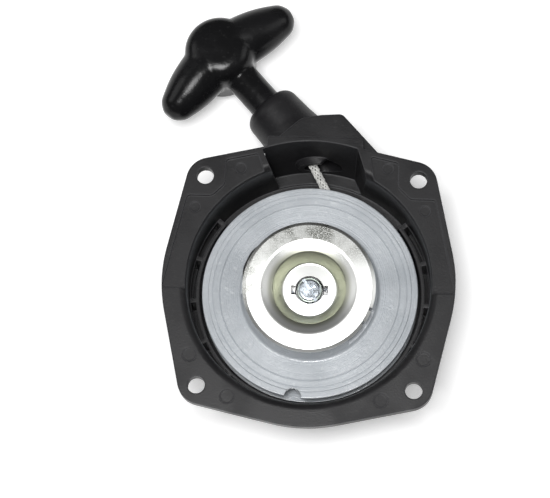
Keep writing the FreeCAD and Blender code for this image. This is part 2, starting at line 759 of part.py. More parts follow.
def rope_leave_point(share):
    """Point on the straight run where the rope leaves its turn, ahead by a share of the turn's radius."""
    angle = rope_leave_angle()
    outermost = size("lay_radius") + 2 * size("lay_step")
    leave = Vector(*polar(outermost, angle), -size("rope_depth"))
    return leave + Vector(*polar(outermost * share, angle + 90.0), 0)


def make_ropes():
    """The braided rope in three lengths: wound on the reel, led to the guide, and on to the handle."""
    wound, wound_length, radii = tube(winding_points(), size("rope_radius"))
    print(f"wound rope {wound_length:.1f} mm, arcs {min(radii):.1f} to {max(radii):.1f} mm")
    solid_feature("wound_rope", wound)
    out = Vector(*on_tower(size("socket_floor") + 1.1), -size("rope_depth"))
    lead, lead_length, radii = tube([winding_points()[-1], rope_bend(), out], size("rope_radius"), 22.0)
    print(f"rope lead {lead_length:.1f} mm, arc {radii[0]:.1f} mm")
    solid_feature("rope_lead", lead)
    run = doc.addObject("Part::Cylinder", "Solid_handle_rope")
    run.Label = "handle_rope"
    run.setExpression("Radius", "Sizes.rope_radius")
    run.setExpression("Height", "Sizes.barrel_centre - 4.4 - Sizes.socket_floor - 1.1")
    turn = size("tower_angle")
    run.Placement = Placement(out, Rotation(Vector(0, 0, 1), turn) * Rotation(Vector(0, 1, 0), 90))
    doc.recompute()
    total = wound_length + lead_length + run.Height.Value
    print(f"rope from knot to knot {total:.1f} mm")


def knot_place():
    """Plan point of the knot at the rope's inner end, just behind the first turn."""
    first = winding_points()[0]
    return polar(size("core_radius") - 0.2, math.degrees(math.atan2(first.y, first.x)) - 7.0)


def make_reel_knot():
    """Knot at the rope's inner end, sunk in the core's pocket."""
    body = new_body("reel_knot")
    x, y = knot_place()
    place = Placement(Vector(x, 0, -y), Rotation())
    outline = rounded([(0.0, -23.3), (2.3, -23.3, 1.0), (2.3, -20.0, 1.0), (0.0, -20.0)])
    revolve(body, sketch(body, outline, "XZ_Plane", place))
    return body


# ---------------------------------------------------------------- ratchet


def plate_profile(lower):
    """Upper or lower line of the dished plate, from its rim to its hole."""
    top = -size("plate_face")
    sheet_metal = size("plate_thickness") if lower else 0.0
    slope = 0.35 if lower else 0.0
    rim = size("plate_radius")
    floor = -size("plate_floor") - sheet_metal
    return [
        (rim, top - 0.5 - sheet_metal * 0.6), (rim - 1.0, top - sheet_metal, 0.6),
        (16.2, top - sheet_metal, 2.5), (12.5 - slope, top - 1.5 - sheet_metal, 1.2),
        (9.3 - slope, floor, 0.9), (size("plate_hole"), floor),
    ]


def make_friction_plate():
    """Dished steel plate over the pawl, with a bent tab at its rim and a peg that moves the pawl."""
    body = new_body("friction_plate")
    turned(body, plate_profile(False) + plate_profile(True)[::-1])
    slots = []
    for side in (1, -1):
        inner, outer, half = side * 4.0, side * 6.25, 1.65
        slots += rounded([(inner, -half), (outer, -half), (outer, half), (inner, half)][:: side])
    pocket(body, sketch(body, slots, place=at_depth(11.0)), 4.0)
    for shift in (-6.85, 6.85):
        turn = Rotation(Vector(0, 0, 1), size("tab_angle") + shift)
        relief = rounded([(21.6, -0.6), (23.2, -0.6), (23.2, 0.6), (21.6, 0.6)])
        pocket(body, sketch(body, relief, place=Placement(Vector(0, 0, -5.0), turn)), 5.0)
    turn = Rotation(Vector(0, 0, 1), size("tab_angle"))
    tab = sketch(body, rounded([(21.3, -1.9), (22.2, -1.9), (22.2, 1.9), (21.3, 1.9)]),
                 place=Placement(Vector(0, 0, -11.4), turn))
    pad(body, tab, 3.7)
    x, y = polar(size("peg_radius"), size("peg_angle"))
    peg = sketch(body, [circle(x, y, 1.1)], place=at_depth(10.4))
    pad(body, peg, 2.7)
    return body


def make_friction_spring():
    """Wire ring that grips the bush's neck, with two tangs up into the plate's notches."""
    wire = 0.4
    height = -15.6
    reach = size("bush_neck") + 0.05 + wire
    parts = []
    for start, stop in ((16.0, 170.0), (196.0, 350.0)):
        bow = Part.makeTorus(reach, wire, Vector(0, 0, height), Vector(0, 0, 1), -180, 180, stop - start)
        bow.rotate(Vector(0, 0, 0), Vector(0, 0, 1), start)
        parts.append(bow)
    for angle in (16.0, 196.0):
        inner = Vector(*polar(reach, angle), height)
        corner = Vector(*polar(5.7, angle - 10.0), height)
        top = Vector(corner.x, corner.y, -12.9)
        leg, _, _ = tube([inner, corner, top], wire, 0.8)
        parts.append(leg)
    link = Part.makeTorus(reach, wire, Vector(0, 0, height), Vector(0, 0, 1), -180, 180, 30.0)
    link.rotate(Vector(0, 0, 0), Vector(0, 0, 1), 168.0)
    parts.append(link)
    whole = parts[0].fuse(parts[1:]).removeSplitter()
    return solid_feature("friction_spring", whole)


def pawl_pivot():
    """Plan point of the pawl's pivot."""
    return Vector(*polar(size("pawl_pivot_radius"), size("pawl_pivot_angle")), 0)


def make_pawl():
    """Hooked pawl with a round eye on its pin, a cam slot for the plate's peg and a square nose."""
    body = new_body("pawl")
    pivot = pawl_pivot()
    eye = sketch(body, [circle(pivot.x, pivot.y, 3.0)], place=at_depth("pawl_bottom"))
    pad(body, eye, "Sizes.pawl_bottom - Sizes.pawl_top")
    arm = [
        polar(18.9, 122.0), (*polar(22.0, 131.0), 1.5), (*polar(23.7, 147.0), 9.0),
        (*polar(23.6, 164.0), 8.0), (*polar(22.6, 177.0), 0.5), (*polar(17.9, 178.0), 0.7),
        (*polar(13.4, 160.0), 6.0), polar(13.6, 133.0),
    ]
    blade = sketch(body, rounded(arm), place=at_depth("pawl_bottom"))
    pad(body, blade, "Sizes.pawl_bottom - Sizes.pawl_top")
    hole = sketch(body, [circle(pivot.x, pivot.y, size("pin_radius") + 0.06)], place=at_depth("pawl_top"))
    pocket(body, hole, "Sizes.pawl_bottom - Sizes.pawl_top + 0.5")
    doc.recompute()
    steps = 8
    for i in range(steps + 1):
        share = i / steps
        peg = Vector(*polar(size("peg_radius"), size("peg_angle") - share * size("plate_slip")), 0)
        back = Rotation(Vector(0, 0, 1), share * size("pawl_swing"))
        place = back.multVec(peg - pivot) + pivot
        cut = sketch(body, [circle(place.x, place.y, 1.45)], place=at_depth("pawl_top"))
        feature(body, "Pocket", cut, Length=1.4)
    doc.recompute()
    return body


def make_pawl_pin():
    """Steel pin that the pawl turns on."""
    made = doc.addObject("Part::Cylinder", "Solid_pawl_pin")
    made.Label = "pawl_pin"
    made.setExpression("Radius", "Sizes.pin_radius")
    made.Height = 7.2
    pivot = pawl_pivot()
    made.Placement = Placement(Vector(pivot.x, pivot.y, -16.45), Rotation())
    return made


def make_pawl_spring():
    """Thin wire spring under the pawl: one coil round the pin and two legs."""
    wire = 0.28
    height = -14.25
    pivot = pawl_pivot() + Vector(0, 0, height)
    coil = Part.makeTorus(2.1, wire, pivot, Vector(0, 0, 1))
    legs = []
    for angle, length in ((200.0, 6.0), (236.0, 8.0)):
        outward = Vector(*polar(2.1, angle), 0)
        along = Vector(*polar(1.0, angle + 20.0), 0)
        leg = Part.makeCylinder(wire, length, pivot + outward, along)
        legs.append(leg)
    return solid_feature("pawl_spring", coil.fuse(legs).removeSplitter())


# ---------------------------------------------------------------- handle


def wing(body, side):
    """One tapering wing: a round lobe turned about its own leaning axis."""
    droop = size("wing_droop")
    reach = size("wing_reach")
    turn = -90.0 - droop if side > 0 else 90.0 + droop
    root = 6.0
    length = (reach - root) / math.cos(math.radians(droop))
    lobe = [
        (0.0, 0.0), (length, 0.0), (length, 2.2, 1.6), (length - 2.4, 5.4, 3.0), (length - 11.0, 8.1, 14.0),
        (4.0, 9.0, 6.0), (0.0, 9.0),
    ]
    place = along_tower(side * root, turn, size("barrel_centre") - 0.8)
    revolve(body, sketch(body, rounded(lobe), place=place), "H_Axis")
    doc.recompute()


def make_handle_grip():
    """Moulded grip: stem, barrel across it and two wings, hollow for the rope and its knot."""
    body = new_body("handle_grip")
    stem = size("stem_radius")
    centre = size("barrel_centre")
    shaft = sketch(body, rounded([
        (size("stem_start"), 0.0), (centre, 0.0), (centre, stem + 0.15), (size("stem_start"), stem, 0.8),
    ]), place=along_tower())
    revolve(body, shaft, "H_Axis")
    x, y = on_tower(centre)
    high = -size("barrel_top")
    low = -size("barrel_low")
    radius = size("barrel_radius")
    barrel = sketch(body, rounded([
        (0.0, low), (radius, low, 0.8),
        (radius + 0.2, high - size("barrel_crown"), size("barrel_rounding")), (1.0, high), (0.0, high),
    ]), "XZ_Plane", Placement(Vector(x, 0, -y), Rotation()))
    revolve(body, barrel)
    doc.recompute()
    wing(body, 1.0)
    wing(body, -1.0)
    bore = sketch(body, rounded([
        (size("stem_start") - 1.0, 0.0), (size("stem_start") - 1.0, size("handle_bore")),
        (centre, size("handle_bore")), (centre, 0.0),
    ]), place=along_tower())
    groove(body, bore, "H_Axis")
    chamber = sketch(body, [circle(x, y, size("chamber_radius"))], place=at_depth("chamber_top"))
    pocket(body, chamber, "Sizes.barrel_low - Sizes.chamber_top + 1")
    seat_depth = size("barrel_low") - size("cap_thickness")
    seat = sketch(body, [circle(x, y, size("chamber_radius") + 2.6)], place=at_depth(seat_depth))
    pocket(body, seat, "Sizes.cap_thickness + 1")
    return body


def make_handle_cap():
    """Disc that closes the knot chamber."""
    body = new_body("handle_cap")
    x, y = on_tower(size("barrel_centre"))
    low = -size("barrel_low")
    high = low + size("cap_thickness") - 0.05
    radius = size("chamber_radius") + 2.5
    outline = rounded([(0.0, low), (radius, low, 0.4), (radius, high), (0.0, high)])
    disc = sketch(body, outline, "XZ_Plane", Placement(Vector(x, 0, -y), Rotation()))
    revolve(body, disc)
    return body


def make_knot_washer():
    """Flat washer that spreads the knot's load in the handle."""
    body = new_body("knot_washer")
    start = size("barrel_centre") - size("chamber_radius") + 1.65
    ring = rounded([(start, 1.7), (start + 0.9, 1.7), (start + 0.9, 4.4), (start, 4.4)])
    revolve(body, sketch(body, ring, place=along_tower()), "H_Axis")
    return body


def make_handle_knot():
    """Stopper knot at the rope's outer end."""
    body = new_body("handle_knot")
    start = size("barrel_centre") - 4.4
    outline = rounded([(start, 0.0), (start, 3.1, 1.3), (start + 5.6, 3.1, 1.3), (start + 5.6, 0.0)])
    revolve(body, sketch(body, outline, place=along_tower()), "H_Axis")
    return body


# ---------------------------------------------------------------- build, check and write

make_housing()
make_spring_case()
make_recoil_spring()
make_thread_insert()
make_centre_bush()
make_centre_screw()
make_rope_guide()
make_reel()
make_ropes()
make_reel_knot()
make_friction_plate()
make_friction_spring()
make_pawl()
make_pawl_pin()
make_pawl_spring()
make_handle_grip()
make_handle_cap()
make_knot_washer()
make_handle_knot()
doc.recompute()

for thing in doc.Objects:
    if "Invalid" in thing.State or "Error" in thing.State:
        raise ValueError(f"{thing.Name} is {thing.State}")

top_level = [o for o in doc.Objects if o.Name.startswith(("Body_", "Solid_"))]
for part in top_level:
    if part.Shape.isNull() or not part.Shape.isValid():
        raise ValueError(f"{part.Label} has no valid shape")
    if len(part.Shape.Solids) != 1:
        raise ValueError(f"{part.Label} has {len(part.Shape.Solids)} solids")

os.makedirs("parts", exist_ok=True)
for part in top_level:
    part.Shape.exportStep(f"parts/{part.Label}.step")
    box = part.Shape.BoundBox
    print(f"{part.Label:16s} {part.Shape.Volume:10.1f} mm3  z {box.ZMin:6.1f} {box.ZMax:6.1f}")
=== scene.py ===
"""Looks of a recoil starter: black housing, milky nylon reel, zinc ratchet, braided rope and T handle."""

import logging
import math
from dataclasses import dataclass, field
from enum import Enum
from typing import Callable, Optional, Sequence

import bmesh
import bpy
from mathutils import Matrix, Vector

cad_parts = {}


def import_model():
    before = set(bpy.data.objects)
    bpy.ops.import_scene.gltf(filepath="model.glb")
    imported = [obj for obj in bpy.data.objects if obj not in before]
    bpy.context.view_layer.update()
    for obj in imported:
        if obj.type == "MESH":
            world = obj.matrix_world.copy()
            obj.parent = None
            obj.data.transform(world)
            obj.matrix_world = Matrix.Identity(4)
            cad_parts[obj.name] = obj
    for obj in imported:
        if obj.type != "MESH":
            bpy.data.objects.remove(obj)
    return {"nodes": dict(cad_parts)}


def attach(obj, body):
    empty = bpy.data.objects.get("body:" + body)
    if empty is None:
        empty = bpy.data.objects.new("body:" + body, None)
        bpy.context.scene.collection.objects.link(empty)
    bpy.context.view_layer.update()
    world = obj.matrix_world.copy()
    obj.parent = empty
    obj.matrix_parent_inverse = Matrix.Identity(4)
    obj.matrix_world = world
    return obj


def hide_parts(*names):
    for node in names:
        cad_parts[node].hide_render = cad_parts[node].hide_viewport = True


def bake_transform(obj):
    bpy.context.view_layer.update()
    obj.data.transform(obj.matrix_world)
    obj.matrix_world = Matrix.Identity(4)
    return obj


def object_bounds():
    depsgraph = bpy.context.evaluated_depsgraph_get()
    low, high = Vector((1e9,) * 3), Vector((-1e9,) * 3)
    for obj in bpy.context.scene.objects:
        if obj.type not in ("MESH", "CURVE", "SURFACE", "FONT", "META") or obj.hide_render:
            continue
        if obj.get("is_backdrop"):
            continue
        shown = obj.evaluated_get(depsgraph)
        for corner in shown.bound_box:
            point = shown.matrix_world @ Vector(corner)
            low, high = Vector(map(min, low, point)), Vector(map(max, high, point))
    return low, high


LOG = logging.getLogger("recoil_starter")
Colour = tuple[float, float, float]
Socket = bpy.types.NodeSocket


class Body(str, Enum):
    """Bodies of the frame that pieces ride on."""

    HOUSING = "housing"
    REEL = "reel"
    PLATE = "plate"
    PAWL = "pawl"
    HANDLE = "handle"


# ---------------------------------------------------------------- shader graphs


class Graph:
    """Short way to add and join the nodes of one shader tree."""

    def __init__(self, tree: bpy.types.NodeTree) -> None:
        """Starts on a tree.

        Args:
            tree: the material's or the group's node tree.
        """
        self.tree = tree

    def add(self, kind: str, **settings: object) -> bpy.types.Node:
        """Adds a node.

        Args:
            kind: the node's type name.
            **settings: attributes of the node.

        Returns:
            The new node.
        """
        node = self.tree.nodes.new(kind)
        for name, value in settings.items():
            setattr(node, name, value)
        return node

    def feed(self, source: object, target: Socket) -> None:
        """Joins a socket to an input, or sets the input's value."""
        if isinstance(source, bpy.types.NodeSocket):
            self.tree.links.new(source, target)
        else:
            target.default_value = source

    def maths(self, operation: str, *values: object, clamp: bool = False) -> Socket:
        """Adds a Math node.

        Args:
            operation: the Math node's operation.
            *values: sockets or numbers for its inputs.
            clamp: keeps the result between 0 and 1.

        Returns:
            The result's socket.
        """
        node = self.add("ShaderNodeMath", operation=operation, use_clamp=clamp)
        for value, target in zip(values, node.inputs):
            self.feed(value, target)
        return node.outputs[0]

    def spread(self, value: object, low: float, high: float, to_low: float = 0.0,
               to_high: float = 1.0) -> Socket:
        """Maps a range of a value smoothly onto another range.

        Args:
            value: the socket to map.
            low: where the result starts.
            high: where the result ends.
            to_low: the result at low.
            to_high: the result at high.

        Returns:
            The mapped socket.
        """
        node = self.add("ShaderNodeMapRange", interpolation_type="SMOOTHSTEP")
        for number, target in zip((value, low, high, to_low, to_high), node.inputs):
            self.feed(number, target)
        return node.outputs[0]

    def noise(self, vector: Socket, scale: object, detail: float = 3.0, roughness: float = 0.5) -> Socket:
        """Adds a noise texture and returns its value."""
        node = self.add("ShaderNodeTexNoise")
        self.feed(vector, node.inputs["Vector"])
        self.feed(scale, node.inputs["Scale"])
        node.inputs["Detail"].default_value = detail
        node.inputs["Roughness"].default_value = roughness
        return node.outputs[0]

    def mix(self, factor: object, first: object, second: object) -> Socket:
        """Mixes two colours by a factor and returns the colour."""
        node = self.add("ShaderNodeMix", data_type="RGBA")
        self.feed(factor, node.inputs["Factor"])
        for value, name in ((first, "A"), (second, "B")):
            target = [s for s in node.inputs if s.name == name and s.type == "RGBA"][0]
            self.feed(value if isinstance(value, bpy.types.NodeSocket) else (*value, 1.0), target)
        return [s for s in node.outputs if s.type == "RGBA"][0]

    def coordinates(self) -> Socket:
        """Object coordinates, in metres from the reel's axis and the mounting face."""
        return self.add("ShaderNodeTexCoord").outputs["Object"]


def make_group(name: str, inputs: dict[str, float], outputs: Sequence[str],
               fill: Callable[[Graph, dict[str, Socket]], dict[str, Socket]]) -> bpy.types.NodeTree:
    """Builds a node group once.

    Args:
        name: the group's name.
        inputs: its number inputs with their usual values.
        outputs: its number outputs.
        fill: function that adds the nodes and returns the socket of each output.

    Returns:
        The node group.
    """
    found = bpy.data.node_groups.get(name)
    if found:
        return found
    group = bpy.data.node_groups.new(name, "ShaderNodeTree")
    for label, value in inputs.items():
        socket = group.interface.new_socket(label, in_out="INPUT", socket_type="NodeSocketFloat")
        socket.default_value = value
    for label in outputs:
        group.interface.new_socket(label, in_out="OUTPUT", socket_type="NodeSocketFloat")
    graph = Graph(group)
    entry = graph.add("NodeGroupInput")
    results = fill(graph, {label: entry.outputs[label] for label in inputs})
    leave = graph.add("NodeGroupOutput")
    for label, socket in results.items():
        graph.feed(socket, leave.inputs[label])
    return group


def fill_grain(graph: Graph, given: dict[str, Socket]) -> dict[str, Socket]:
    """Fine moulded grain: a soft pebble over a finer noise."""
    place = graph.coordinates()
    pebble = graph.noise(place, given["Scale"], 2.0, 0.45)
    fine = graph.noise(place, graph.maths("MULTIPLY", given["Scale"], 3.3), 3.0, 0.6)
    return {"Height": graph.maths("ADD", pebble, graph.maths("MULTIPLY", fine, given["Fineness"]))}


def fill_patches(graph: Graph, given: dict[str, Socket]) -> dict[str, Socket]:
    """Broad uneven patches, and small specks inside them."""
    place = graph.coordinates()
    broad = graph.noise(place, given["Scale"], 4.0, 0.55)
    speck = graph.noise(place, graph.maths("MULTIPLY", given["Scale"], 14.0), 2.0, 0.5)
    patch = graph.spread(broad, 0.38, 0.64)
    specks = graph.maths("MULTIPLY", graph.spread(speck, 0.60, 0.74), given["Specks"])
    return {"Patch": patch, "Speck": specks}


def fill_rings(graph: Graph, given: dict[str, Socket]) -> dict[str, Socket]:
    """Turned rings about the reel's axis, uneven in depth, broken up along their length."""
    place = graph.coordinates()
    split = graph.add("ShaderNodeSeparateXYZ")
    graph.feed(place, split.inputs[0])
    squares = [graph.maths("MULTIPLY", split.outputs[i], split.outputs[i]) for i in (0, 1)]
    radius = graph.maths("SQRT", graph.maths("ADD", *squares))
    line = graph.add("ShaderNodeCombineXYZ")
    graph.feed(graph.maths("MULTIPLY", radius, given["Density"]), line.inputs[0])
    rings = graph.noise(line.outputs[0], 1.0, 4.0, 0.7)
    wobble = graph.noise(place, 60.0, 2.0)
    height = graph.maths("MULTIPLY", rings, graph.spread(wobble, 0.25, 0.7, 0.35, 1.0))
    return {"Height": height, "Radius": radius}


def fill_scratches(graph: Graph, given: dict[str, Socket]) -> dict[str, Socket]:
    """Short hairline scratches in two directions."""
    place = graph.coordinates()
    marks = []
    for turn in (0.5, 2.0):
        node = graph.add("ShaderNodeMapping")
        graph.feed(place, node.inputs["Vector"])
        node.inputs["Rotation"].default_value = (0.0, 0.0, turn)
        node.inputs["Scale"].default_value = (1.0, 26.0, 1.0)
        marks.append(graph.spread(graph.noise(node.outputs[0], given["Scale"], 2.0, 0.6), 0.66, 0.72))
    return {"Scratch": graph.maths("MULTIPLY", graph.maths("MAXIMUM", *marks), given["Amount"])}


def fill_braid(graph: Graph, given: dict[str, Socket]) -> dict[str, Socket]:
    """Diamond braid from the UV map: U runs once round the rope and V along it, in turns of one carrier."""
    chart = graph.add("ShaderNodeUVMap", uv_map="braid")
    split = graph.add("ShaderNodeSeparateXYZ")
    graph.feed(chart.outputs[0], split.inputs[0])
    around = graph.maths("MULTIPLY", split.outputs[0], given["Carriers"])
    along = graph.maths("MULTIPLY", split.outputs[1], given["Crossings"])
    lanes = [graph.maths("ADD", around, along), graph.maths("SUBTRACT", around, along)]
    floors = [graph.maths("FLOOR", lane) for lane in lanes]
    swells = []
    for lane in lanes:
        offset = graph.maths("SUBTRACT", graph.maths("FRACT", lane), 0.5)
        slope = graph.maths("MULTIPLY", graph.maths("ABSOLUTE", offset), 2.0)
        swells.append(graph.maths("SUBTRACT", 1.0, slope))
    parity = graph.maths("MODULO", graph.maths("ABSOLUTE", graph.maths("ADD", *floors)), 2.0)
    above = graph.maths("GREATER_THAN", parity, 0.5)
    height = graph.add("ShaderNodeMix", data_type="FLOAT")
    for value, target in zip((above, swells[1], swells[0]), height.inputs[:1] + height.inputs[2:4]):
        graph.feed(value, target)
    lane = graph.maths("MODULO", graph.maths("ABSOLUTE", floors[0]), 5.0)
    fleck = graph.maths("MULTIPLY", above, graph.maths("LESS_THAN", lane, 0.5))
    return {"Height": graph.maths("POWER", height.outputs[0], 0.6), "Fleck": fleck}


GRAIN = ("moulded grain", {"Scale": 1800.0, "Fineness": 0.5}, ("Height",), fill_grain)
PATCHES = ("uneven patches", {"Scale": 60.0, "Specks": 1.0}, ("Patch", "Speck"), fill_patches)
RINGS = ("turned rings", {"Density": 900.0}, ("Height", "Radius"), fill_rings)
SCRATCHES = ("hairline scratches", {"Scale": 60.0, "Amount": 1.0}, ("Scratch",), fill_scratches)
BRAID = ("diamond braid", {"Carriers": 8.0, "Crossings": 1.0}, ("Height", "Fleck"), fill_braid)


class Shader(Graph):
    """A material with one Principled shader."""

    def __init__(self, name: str) -> None:
        """Makes the material.

        Args:
            name: the material's name.
        """
        self.material = bpy.data.materials.new(name)
        self.material.use_nodes = True
        super().__init__(self.material.node_tree)
        self.surface = self.tree.nodes["Principled BSDF"]

    def effect(self, recipe: tuple, **values: float) -> dict[str, Socket]:
        """Places a shared effect.

        Args:
            recipe: the effect's name, inputs, outputs and filling.
            **values: its inputs' values, by name.

        Returns:
            Its outputs by name.
        """
        node = self.add("ShaderNodeGroup", node_tree=make_group(*recipe))
        for name, value in values.items():
            node.inputs[name].default_value = value
        return {socket.name: socket for socket in node.outputs}

    def plain(self, **values: object) -> None:
        """Sets plain values on the shader's own sockets; an underline stands for a space."""
        for name, value in values.items():
            self.surface.inputs[name.replace("_", " ")].default_value = value

    def bump(self, height: Socket, depth: float, strength: float = 1.0,
             under: Optional[Socket] = None) -> Socket:
        """Adds a bump.

        Args:
            height: the height's socket.
            depth: the height in metres that 1 stands for.
            strength: share of the bump.
            under: normal of a bump beneath it.

        Returns:
            The normal's socket.
        """
        node = self.add("ShaderNodeBump")
        node.inputs["Strength"].default_value = strength
        node.inputs["Distance"].default_value = depth
        self.feed(height, node.inputs["Height"])
        if under is not None:
            self.feed(under, node.inputs["Normal"])
        return node.outputs[0]

    def edges(self, radius: float) -> tuple[Socket, Socket]:
        """Softens sharp edges as the light sees them.

        Args:
            radius: radius of the softened edge, in metres.

        Returns:
            The softened normal, and a mask that is 1 on the edges.
        """
        bevel = self.add("ShaderNodeBevel", samples=6)
        bevel.inputs["Radius"].default_value = radius
        likeness = self.add("ShaderNodeVectorMath", operation="DOT_PRODUCT")
        self.feed(bevel.outputs[0], likeness.inputs[0])
        self.feed(self.add("ShaderNodeNewGeometry").outputs["Normal"], likeness.inputs[1])
        turn = self.maths("SUBTRACT", 1.0, likeness.outputs["Value"])
        return bevel.outputs[0], self.spread(turn, 0.01, 0.20)

    def finish(self, colour: object, roughness: object,
               normal: Optional[Socket] = None) -> bpy.types.Material:
        """Joins the last sockets.

        Args:
            colour: base colour.
            roughness: roughness.
            normal: the surface's normal.

        Returns:
            The material.
        """
        self.feed(colour, self.surface.inputs["Base Color"])
        self.feed(roughness, self.surface.inputs["Roughness"])
        if normal is not None:
            self.feed(normal, self.surface.inputs["Normal"])
        return self.material


# ---------------------------------------------------------------- finishes


@dataclass(frozen=True)
class MouldedBlack:
    """Black moulded plastic with fine grain, handling marks, and lighter edges that are partly wear and
    partly painted highlight.
    """

    name: str
    colour: Colour = (0.0095, 0.0092, 0.0102)
    worn: Colour = (0.019, 0.0185, 0.020)
    roughness: float = 0.42
    grain: float = 1800.0
    depth: float = 0.00004
    shine: float = 0.26
    edge: float = 0.0007
    # Lighter grey for the edges: partly edge wear, partly painted highlight.
    edge_wear_and_highlight: Colour = (0.085, 0.085, 0.090)

    def make(self) -> bpy.types.Material:
        """Builds the material."""
        shader = Shader(self.name)
        patches = shader.effect(PATCHES, Scale=55.0, Specks=0.5)
        scratches = shader.effect(SCRATCHES, Scale=90.0, Amount=0.35)
        grain = shader.effect(GRAIN, Scale=self.grain, Fineness=0.5)
        marks = shader.maths("MAXIMUM", scratches["Scratch"], patches["Speck"])
        colour = shader.mix(shader.maths("MULTIPLY", patches["Patch"], 0.45), self.colour, self.worn)
        colour = shader.mix(shader.maths("MULTIPLY", marks, 0.35), colour, (0.05, 0.05, 0.05))
        roughness = shader.spread(patches["Patch"], 0.0, 1.0, self.roughness - 0.06, self.roughness + 0.08)
        softened, edge = shader.edges(self.edge)
        # Edges are mixed towards a lighter grey: partly edge wear, partly painted highlight along the rims.
        colour = shader.mix(shader.maths("MULTIPLY", edge, 0.8), colour, self.edge_wear_and_highlight)
        shader.plain(Specular_IOR_Level=self.shine)
        return shader.finish(colour, roughness, shader.bump(grain["Height"], self.depth, 1.0, softened))


@dataclass(frozen=True)
class MilkyNylon:
    """Natural nylon: milky, slightly translucent, with turned rings, flow marks and pale specks painted as
    glints.
    """

    name: str
    colour: Colour = (0.49, 0.52, 0.55)
    shade: Colour = (0.36, 0.39, 0.42)
    roughness: float = 0.34

    def make(self) -> bpy.types.Material:
        """Builds the material."""
        shader = Shader(self.name)
        patches = shader.effect(PATCHES, Scale=42.0, Specks=0.6)
        rings = shader.effect(RINGS, Density=1400.0)
        grain = shader.effect(GRAIN, Scale=1100.0, Fineness=0.5)
        colour = shader.mix(shader.maths("MULTIPLY", patches["Patch"], 0.6), self.colour, self.shade)
        # Pale specks mixed into the colour: painted glints.
        colour = shader.mix(shader.maths("MULTIPLY", patches["Speck"], 0.4), colour, (0.78, 0.80, 0.80))
        roughness = shader.spread(rings["Height"], 0.2, 0.7, self.roughness - 0.08, self.roughness + 0.14)
        normal = shader.bump(grain["Height"], 0.00016, 0.8)
        normal = shader.bump(rings["Height"], 0.00045, 1.0, normal)
        shader.plain(Subsurface_Weight=0.35, Subsurface_Scale=0.004, Specular_IOR_Level=0.6,
                     Subsurface_Radius=(1.0, 1.0, 1.0), Coat_Weight=0.6, Coat_Roughness=0.12)
        return shader.finish(colour, roughness, normal)


@dataclass(frozen=True)
class Zinc:
    """Zinc-plated or plain steel with a mottled bloom and fine turning marks."""

    name: str
    colour: Colour = (0.74, 0.75, 0.72)
    bloom: Colour = (0.88, 0.89, 0.87)
    roughness: float = 0.24
    patch_scale: float = 95.0
    bloom_share: float = 0.6
    ripple: float = 0.00018

    def make(self) -> bpy.types.Material:
        """Builds the material."""
        shader = Shader(self.name)
        patches = shader.effect(PATCHES, Scale=self.patch_scale, Specks=0.9)
        rings = shader.effect(RINGS, Density=2600.0)
        scratches = shader.effect(SCRATCHES, Scale=120.0, Amount=0.6)
        bloom = shader.maths("MAXIMUM", patches["Patch"], patches["Speck"])
        bloom = shader.maths("MULTIPLY", bloom, self.bloom_share)
        colour = shader.mix(bloom, self.colour, self.bloom)
        speckle = shader.noise(shader.coordinates(), self.patch_scale * 9.0, 3.0, 0.6)
        rough = shader.spread(patches["Patch"], 0.0, 1.0, self.roughness - 0.05, self.roughness + 0.06)
        rough = shader.maths("ADD", rough, shader.maths("MULTIPLY", scratches["Scratch"], 0.08))
        rough = shader.maths("ADD", rough, shader.spread(speckle, 0.35, 0.65, -0.08, 0.06))
        ripple = shader.noise(shader.coordinates(), 150.0, 2.0, 0.5)
        normal = shader.bump(ripple, self.ripple, 0.6)
        normal = shader.bump(rings["Height"], 0.00002, 0.6, normal)
        shader.plain(Metallic=1.0)
        return shader.finish(colour, rough, normal)


